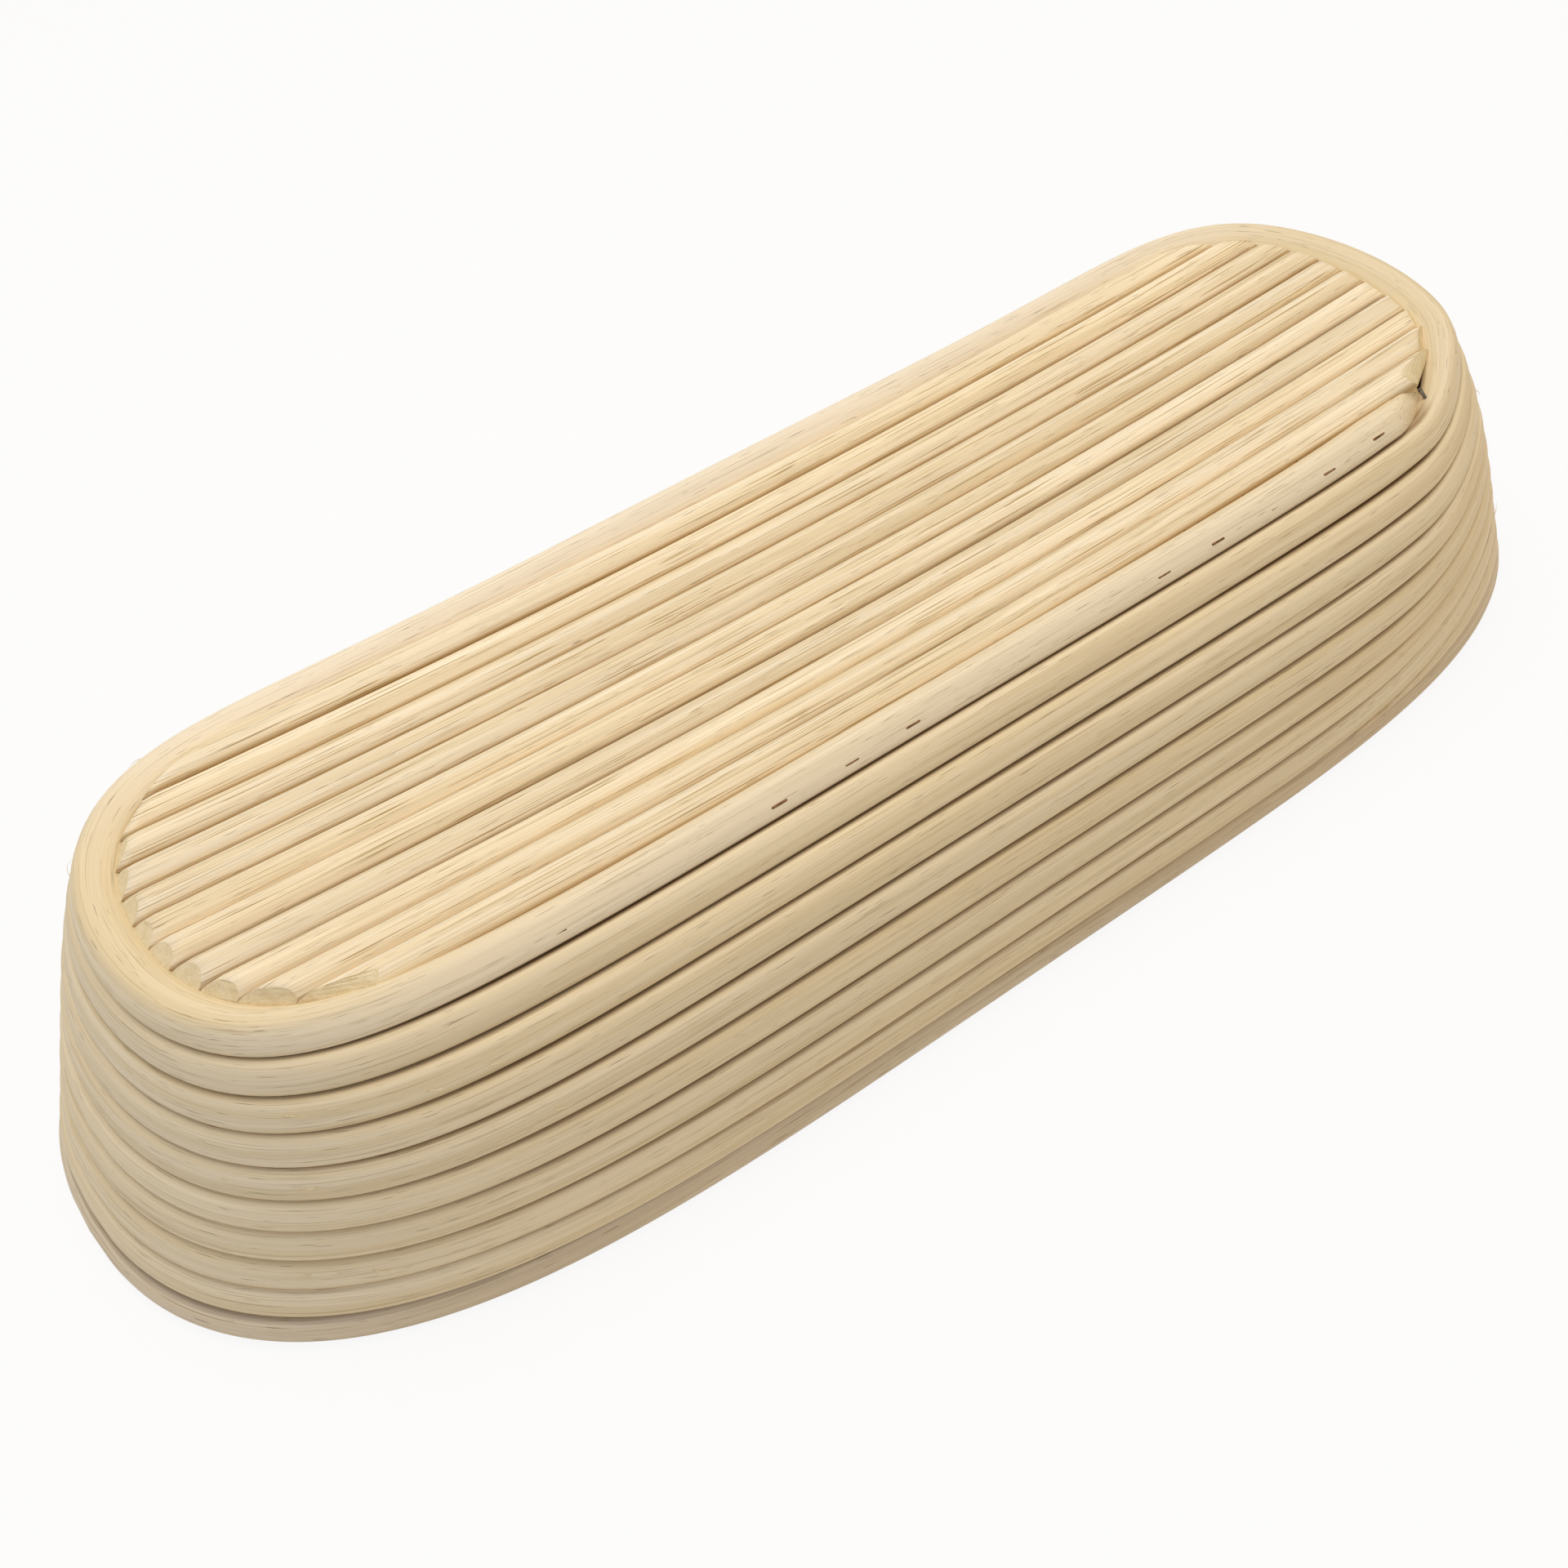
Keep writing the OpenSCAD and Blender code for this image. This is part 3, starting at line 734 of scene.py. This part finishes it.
def speckled_material(name, light, dark, metallic, smoothest):
    made, tree = new_material(name)
    position = add(tree, "ShaderNodeTexCoord").outputs["Object"]
    cloud = add(tree, "ShaderNodeTexNoise", {}, {
        "Vector": position, "Scale": 1 / TARNISH_SIZE, "Detail": 5.0})
    stained = add(tree, "ShaderNodeMapRange", SMOOTH, {
        "Value": cloud.outputs[0], "From Min": 0.35, "From Max": 0.65})
    colour = add(tree, "ShaderNodeMix", COVER, {
        FACTOR: stained.outputs[0], BELOW: linear(light), ON_TOP: linear(dark)})
    roughness = add(tree, "ShaderNodeMapRange", SMOOTH, {
        "Value": cloud.outputs[0], "From Min": 0.3, "From Max": 0.7, "To Min": smoothest, "To Max": 0.9})
    bump = add(tree, "ShaderNodeBump", {}, {
        "Strength": 0.3, "Distance": 0.05 * MM, "Height": cloud.outputs[0]})
    shader = add(tree, "ShaderNodeBsdfPrincipled", {}, {
        "Base Color": colour.outputs[MIXED], "Metallic": metallic, "Roughness": roughness.outputs[0],
        "Normal": bump.outputs[0]})
    add(tree, "ShaderNodeOutputMaterial", {}, {"Surface": shader.outputs[0]})
    return made


# Damp dough has rusted the staples, so they are brown and hardly shine.
rusty_wire = speckled_material("rusty_staple_wire", "#8C6238", "#62401F", 0.25, 0.6)
# Wire inside the cane stays dry: grey, with a dull shine.
steel_wire = speckled_material("drawn_steel_wire", "#9A9184", "#6E665A", 0.9, 0.4)
# Fibres torn by a staple take up its rust, and their dark brown is also painted shade of the staple's slit.
torn_fibre_and_slit_shade = speckled_material("torn_rattan_fibre_and_slit_shade", "#B98F58", "#86602F", 0.0, 0.8)
# Clean fibres that stand off the cane are as pale as the rods.
loose_fibre = speckled_material("loose_rattan_fibre", "#EBDAB4", "#D3BB8A", 0.0, 0.7)
for node in ("rod_pins", "course_brads", "rim_brads"):
    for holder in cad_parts[node].material_slots:
        holder.material = steel_wire
print("materials:", [material.name for material in (rusty_wire, steel_wire, torn_fibre_and_slit_shade, loose_fibre)])

# %% Thin tubes
UP = np.array([0, 0, 1.0])
WIRE_SIDES, FIBRE_SIDES = 8, 6


def tube_rings(line, radii, across, sides):
    """Rings of points round a line that stays square to the direction across."""
    turn = 2 * math.pi * np.arange(sides) / sides
    beside = np.cross(unit(np.gradient(line, axis=0)), across)
    ring = np.cos(turn)[:, None] * across + np.sin(turn)[:, None] * beside[:, None]
    return line[:, None] + radii[:, None, None] * ring


def joined_tubes(name, tubes, materials):
    """One mesh of several tubes, each given as its rings of points and the number of its material."""
    corners, faces, kinds = [], [], []
    for rings, kind in tubes:
        skin, ends = tube_faces(*rings.shape[:2], False)
        faces += [[corner + len(corners) for corner in face] for face in skin + ends]
        kinds += [kind] * (len(skin) + len(ends))
        corners += (rings.reshape(-1, 3) * MM).tolist()
    mesh = bpy.data.meshes.new(name)
    mesh.from_pydata(corners, [], faces)
    mesh.polygons.foreach_set("material_index", kinds)
    mesh.polygons.foreach_set("use_smooth", [True] * len(faces))
    for material in materials:
        mesh.materials.append(material)
    made = bpy.data.objects.new(name, mesh)
    bpy.context.collection.objects.link(made)
    return made


print("sides of a wire and of a fibre:", WIRE_SIDES, FIBRE_SIDES)

# %% One staple
WIRE_R = 0.36
CROWN, LEG = 4.4, 11.0
BEND, BEND_POINTS = 0.6, 5
TEAR_LENGTH, TEAR_R, TEAR_TIP_R = 6.0, 0.46, 0.03
TEAR_SINK, TEAR_BEND, TEAR_POINTS = 0.3, 0.3, 9


def staple(angle, tilt, sink):
    """A wire staple and the fibres that it tore, on the first course at an angle of its outline. The torn
    fibres' dark brown is also painted shade of the staple's slit.
    """
    spot = np.array([angle])
    facing = np.append(outward(0, spot)[0], 0)
    along = np.cross(UP, facing)
    lift = math.cos(tilt) * facing + math.sin(tilt) * UP
    crown = cane_point(np.zeros(1), spot)[0] + (CANE_R - sink) * lift
    behind = crown - (2 * CANE_R + ROD_GAP + ROD_R) * facing
    inward = unit(np.array([behind[0], behind[1], rod_z(behind[0], behind[1])]) - crown)
    corner = np.linspace(0, math.pi / 2, BEND_POINTS)
    half_sideways = np.concatenate([[CROWN / 2], CROWN / 2 - BEND * (1 - np.cos(corner))])
    half_depth = np.concatenate([[LEG], BEND * (1 - np.sin(corner))])
    sideways = np.concatenate([-half_sideways, half_sideways[::-1]])
    depth = np.concatenate([half_depth, half_depth[::-1]])
    wire = crown + sideways[:, None] * along + depth[:, None] * inward
    share = np.linspace(-1, 1, TEAR_POINTS)[:, None]
    bent = dice.uniform(-TEAR_BEND, TEAR_BEND) * share ** 2 * np.cross(along, lift)
    # The torn fibres: a dark brown strip along the crown, which also stands for the painted shade of the
    # slit.
    tear = crown - TEAR_SINK * lift + TEAR_LENGTH / 2 * share * along + bent
    tear_r = TEAR_R * (1 - share[:, 0] ** 2) + TEAR_TIP_R
    return [(tube_rings(wire, np.full(len(wire), WIRE_R), unit(np.cross(along, inward)), WIRE_SIDES), 0),
            (tube_rings(tear, tear_r, lift, WIRE_SIDES), 1)]


print("staple: %.1f mm wide, %.1f mm deep" % (CROWN, LEG))

# %% Rows of staples
NEAR_SINK, DEEP_SINK = 0.14, 0.6
SIDE_STAPLES, STAPLE_SPACING = 15, 18.5
END_STAPLES, END_SPACING = 5, 2 * ROD_PITCH
# Degrees by which a crown is turned up from the side. On the near side it grows towards the right end.
TILT, MORE_TILT, TILT_SCATTER = 20, 18, 5
ANGLE_SCATTER = 0.006


def side_angle(x):
    return np.arccos(signed_power(x / HALF_L, 1 / RING_SPREAD))


def end_angle(y):
    share_x = (1 - (abs(y) / HALF_W) ** FIRST_SQUARENESS) ** (1 / FIRST_STRAIGHTNESS)
    return np.sign(y) * side_angle(HALF_L * share_x)


side_places = (np.arange(SIDE_STAPLES) - (SIDE_STAPLES - 1) / 2) * STAPLE_SPACING
end_places = (np.arange(END_STAPLES) - (END_STAPLES - 1) / 2) * END_SPACING
staple_angles = {
    "near_side_staples": [-side_angle(x) for x in side_places],
    "far_side_staples": [side_angle(x) for x in side_places],
    "left_end_staples": [math.pi - end_angle(y) for y in end_places],
    "right_end_staples": [end_angle(y) for y in end_places]}
for node, angles in staple_angles.items():
    near = node == "near_side_staples"
    tubes = []
    for angle in angles:
        tilt = TILT + MORE_TILT * math.cos(angle) * near + dice.uniform(-TILT_SCATTER, TILT_SCATTER)
        moved = angle + dice.uniform(-ANGLE_SCATTER, ANGLE_SCATTER)
        tubes += staple(moved, math.radians(tilt), NEAR_SINK if near else DEEP_SINK)
    row = joined_tubes(node.replace("staples", "wire_staples"), tubes, [rusty_wire, torn_fibre_and_slit_shade])
    hand_over(row, [node])
print("staples:", sum(len(angles) for angles in staple_angles.values()))

# %% [markdown]
# ## Loose fibres
# Peeling and winding leave a few fibres standing off the cane. A hair system could grow thousands of them,
# but the real basket shows only some, so each is a thin tube that leaves the skin at a small angle and
# bends back.

# %% Loose fibres
FIBRE_COUNT, FIBRE_POINTS = 26, 10
FIBRE_R, FIBRE_TIP, FIBRE_ROOT = 0.11, 0.05, 0.05
SHORTEST, LONGEST = 3.0, 8.0
LEAST_RISE, MOST_RISE = 0.1, 0.3
LEAST_ARCH, MOST_ARCH = 0.5, 0.9
MOST_UPWARD = 0.8
fibres = []
for _ in range(FIBRE_COUNT):
    level = np.array([dice.integers(0, RIM_LEVEL)], float)
    angle = np.array([dice.uniform(0, 2 * math.pi)])
    facing = np.append(outward(level[0], angle)[0], 0)
    along = np.cross(UP, facing) * dice.choice([-1, 1])
    reach = dice.uniform(SHORTEST, LONGEST)
    lift = unit(facing + dice.uniform(0.0, MOST_UPWARD) * UP)
    rise = reach * dice.uniform(LEAST_RISE, MOST_RISE)
    share = np.linspace(0, 1, FIBRE_POINTS)
    height = CANE_R - FIBRE_ROOT + rise * np.sin(math.pi * share * dice.uniform(LEAST_ARCH, MOST_ARCH))
    line = cane_point(level, angle)[0] + height[:, None] * lift + (reach * share)[:, None] * along
    radii = FIBRE_R * (1 + FIBRE_TIP - share)
    fibres.append((tube_rings(line, radii, unit(np.cross(along, lift)), FIBRE_SIDES), 0))
hairs = joined_tubes("loose_fibres", fibres, [loose_fibre])
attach(hairs, "root")
print("fibres:", len(fibres))

# %% [markdown]
# ## Floor and white background
# The studio is a pale paper floor that runs out to a white world. More light would make it white, but would
# bleach the cane too. So only the rays that show the background see most of the paper, and all of the
# world, as pure white, and the shadow stays in the rest. The paper under the basket isn't background:
# without the white it stays dark between the rods, as it is under a real basket. Paper fibres are too fine
# to show, so faint clouds stand for them.

# %% Floor
FLOOR_HALF = 6.0
FLOOR_DROP = 0.1 * MM
WHITE_SHARE = 0.9
PAPER_CLOUD = 13 * MM
UNDER_STEP = 8


def seen_rays(tree):
    """1 for the rays that show the background: from the camera, by a gloss or through a clear piece."""
    rays = add(tree, "ShaderNodeLightPath").outputs
    either = add(tree, "ShaderNodeMath", GREATER, {0: rays["Is Camera Ray"], 1: rays["Is Glossy Ray"]})
    any_of_them = add(tree, "ShaderNodeMath", GREATER, {
        0: either.outputs[0], 1: rays["Is Transmission Ray"]})
    return any_of_them.outputs[0]


def paper_material(name, white_share):
    """Matt paper, of which the rays that show the background see so much as pure white."""
    made, tree = new_material(name)
    position = add(tree, "ShaderNodeTexCoord").outputs["Object"]
    cloud = add(tree, "ShaderNodeTexNoise", {}, {
        "Vector": position, "Scale": 1 / PAPER_CLOUD, "Detail": 2.0})
    colour = add(tree, "ShaderNodeMix", COVER, {
        FACTOR: cloud.outputs[0], BELOW: linear("#E8E2D6"), ON_TOP: linear("#EEE9DF")})
    matt = add(tree, "ShaderNodeBsdfPrincipled", {}, {"Base Color": colour.outputs[MIXED], "Roughness": 0.9})
    glow = add(tree, "ShaderNodeEmission", {}, {"Color": linear("#FFFFFF"), "Strength": 1.0})
    white = add(tree, "ShaderNodeMath", PRODUCT, {0: seen_rays(tree), 1: white_share})
    lifted = add(tree, "ShaderNodeMixShader", {}, {
        0: white.outputs[0], 1: matt.outputs[0], 2: glow.outputs[0]})
    add(tree, "ShaderNodeOutputMaterial", {}, {"Surface": lifted.outputs[0]})
    return made


def floor_sheet(name, corners, height, material):
    mesh = bpy.data.meshes.new(name)
    mesh.from_pydata([(x, y, height) for x, y in corners], [], [range(len(corners))])
    mesh.materials.append(material)
    made = bpy.data.objects.new(name, mesh)
    bpy.context.collection.objects.link(made)


square = [(FLOOR_HALF * x, FLOOR_HALF * y) for x, y in ((-1, -1), (1, -1), (1, 1), (-1, 1))]
floor_sheet("studio_floor", square, -2 * FLOOR_DROP, paper_material("matt_white_paper", WHITE_SHARE))
under_basket = (outline(RIM_LEVEL, circle[::UNDER_STEP]) * MM).tolist()
floor_sheet("floor_under_basket", under_basket, -FLOOR_DROP, paper_material("matt_paper_in_shade", 0.0))
print("floor: %.0f m wide" % (2 * FLOOR_HALF))

# %% [markdown]
# ## Light
# Plain studio light has one large soft lamp, here above the basket and a little behind it, which leaves the
# near wall in half shade. A warm lamp at the right and a cool one at the left stand for the room, and tint
# the two ends as in the photograph. A picture of a sky would light it too, but three lamps and an even
# world are easier to balance.

# %% World and lamps
AMBIENT = 0.465
LAMP_AIM = Vector((0, 0, 0.04))
LAMP_SIZE = 0.9
world = bpy.data.worlds.new("white_studio")
bpy.context.scene.world = world
world.use_nodes = True
tree = world.node_tree
tree.nodes.clear()
strength = add(tree, "ShaderNodeMapRange", {}, {"Value": seen_rays(tree), "To Min": AMBIENT, "To Max": 1.0})
backdrop = add(tree, "ShaderNodeBackground", {}, {
    "Color": linear("#FDFEFF"), "Strength": strength.outputs[0]})
add(tree, "ShaderNodeOutputWorld", {}, {"Surface": backdrop.outputs[0]})


def soft_lamp(name, position, power, colour):
    data = bpy.data.lights.new(name, "AREA")
    data.shape = "DISK"
    data.size = LAMP_SIZE
    data.energy = power
    data.color = linear(colour)[:3]
    lamp = bpy.data.objects.new(name, data)
    bpy.context.collection.objects.link(lamp)
    lamp.location = position
    lamp.rotation_euler = (Vector(position) - LAMP_AIM).to_track_quat("Z", "Y").to_euler()


soft_lamp("key_lamp", (-0.05, 0.2, 1.25), 8.5, "#FFF7EA")
soft_lamp("fill_lamp", (1.1, -0.7, 0.75), 2.5, "#FFD080")
soft_lamp("cool_lamp", (-1.2, -0.5, 0.6), 2.1, "#90B0FF")
print("lamps:", len(bpy.data.lights))
